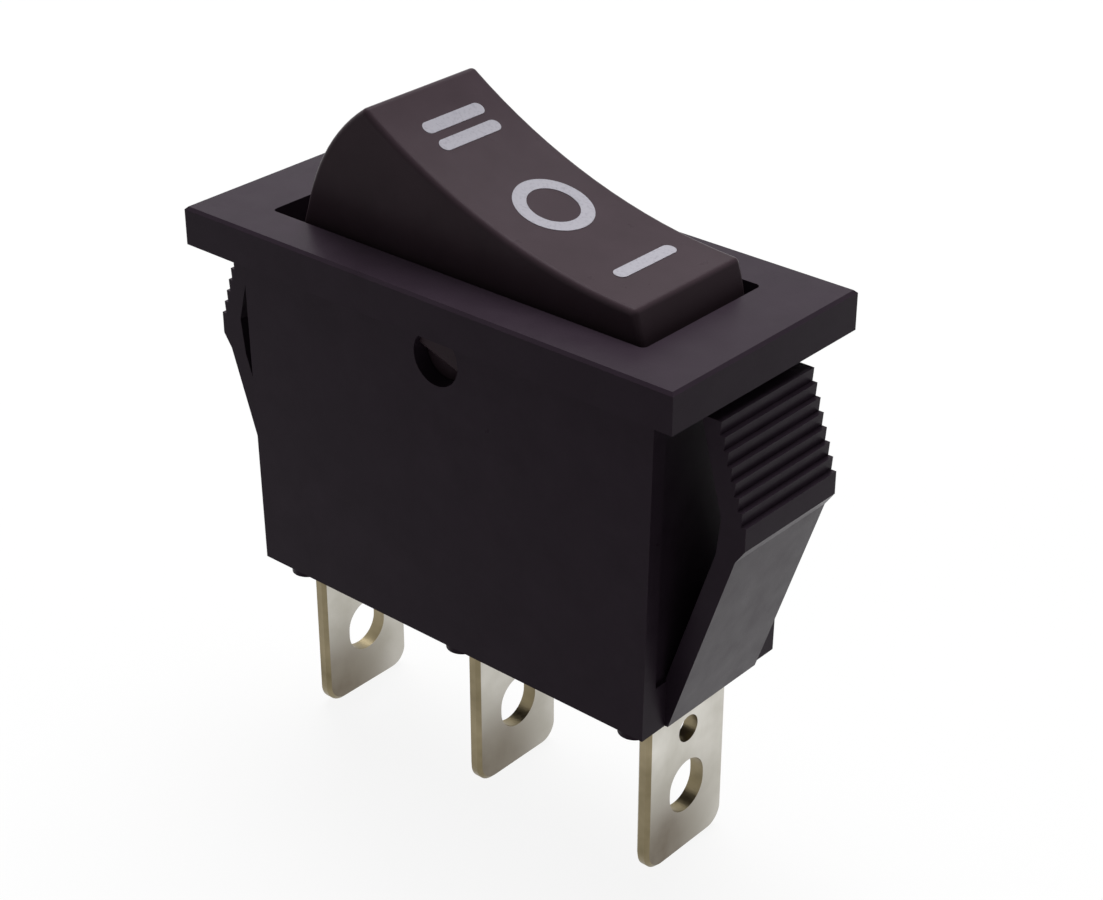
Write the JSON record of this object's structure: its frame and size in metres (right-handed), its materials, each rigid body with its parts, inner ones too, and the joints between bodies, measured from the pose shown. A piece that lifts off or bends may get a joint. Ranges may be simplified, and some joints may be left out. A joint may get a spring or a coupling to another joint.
{
  "type": "rocker switch",
  "caption": "Three-position snap-in rocker switch with a narrow flanged bezel, toothed side latches, a see-saw contact arm and quick-connect blade terminals.",
  "frame": {"origin": "centre of the bezel's underside, where the switch sits on its panel", "axes": "+Z out of the panel towards the rocker, +X along the rocker towards its I end, +Y across the switch"},
  "size_m": [0.0344, 0.0138, 0.0369],
  "materials": {
    "housing_nylon": "matt black nylon",
    "rocker_nylon": "satin black nylon",
    "plunger_acetal": "natural acetal",
    "spring_steel": "bright drawn wire",
    "arm_brass": "rolled strip",
    "blade_plated": "tin-plated brass",
    "symbol_ink": "pad-printed white ink",
    "contact_silver": "silver alloy"
  },
  "bodies": {
    "housing": {"housing": "housing_nylon", "terminal_common": "blade_plated", "terminal_left": "blade_plated", "terminal_right": "blade_plated", "fixed_contact_left": "contact_silver", "fixed_contact_right": "contact_silver"},
    "rocker": {"rocker": "rocker_nylon", "plunger_spring": "spring_steel"},
    "plunger": {"plunger": "plunger_acetal"},
    "contact_arm": {"contact_arm": "arm_brass", "moving_contact_left": "contact_silver", "moving_contact_right": "contact_silver"}
  },
  "joints": [
    {"name": "rocker_tilt", "type": "hinge", "parent": "housing", "child": "rocker", "pos_m": [0, 0, -0.002], "axis": [0, 1, 0], "range_deg": [-36.4, 0]},
    {"name": "plunger_slide", "type": "slide", "parent": "rocker", "child": "plunger", "axis": [0.3123, 0, 0.95], "range_m": [0, 0.0008], "stiffness_N_per_m": 250, "springref_m": -0.004, "deforming": ["plunger_spring"]},
    {"name": "arm_tilt", "type": "hinge", "parent": "housing", "child": "contact_arm", "pos_m": [0, 0, -0.01367], "axis": [0, 1, 0], "range_deg": [0, 16]}
  ],
  "couplings": [
    {"joint": "arm_tilt", "follows": "rocker_tilt", "ratio": -0.43956}
  ]
}
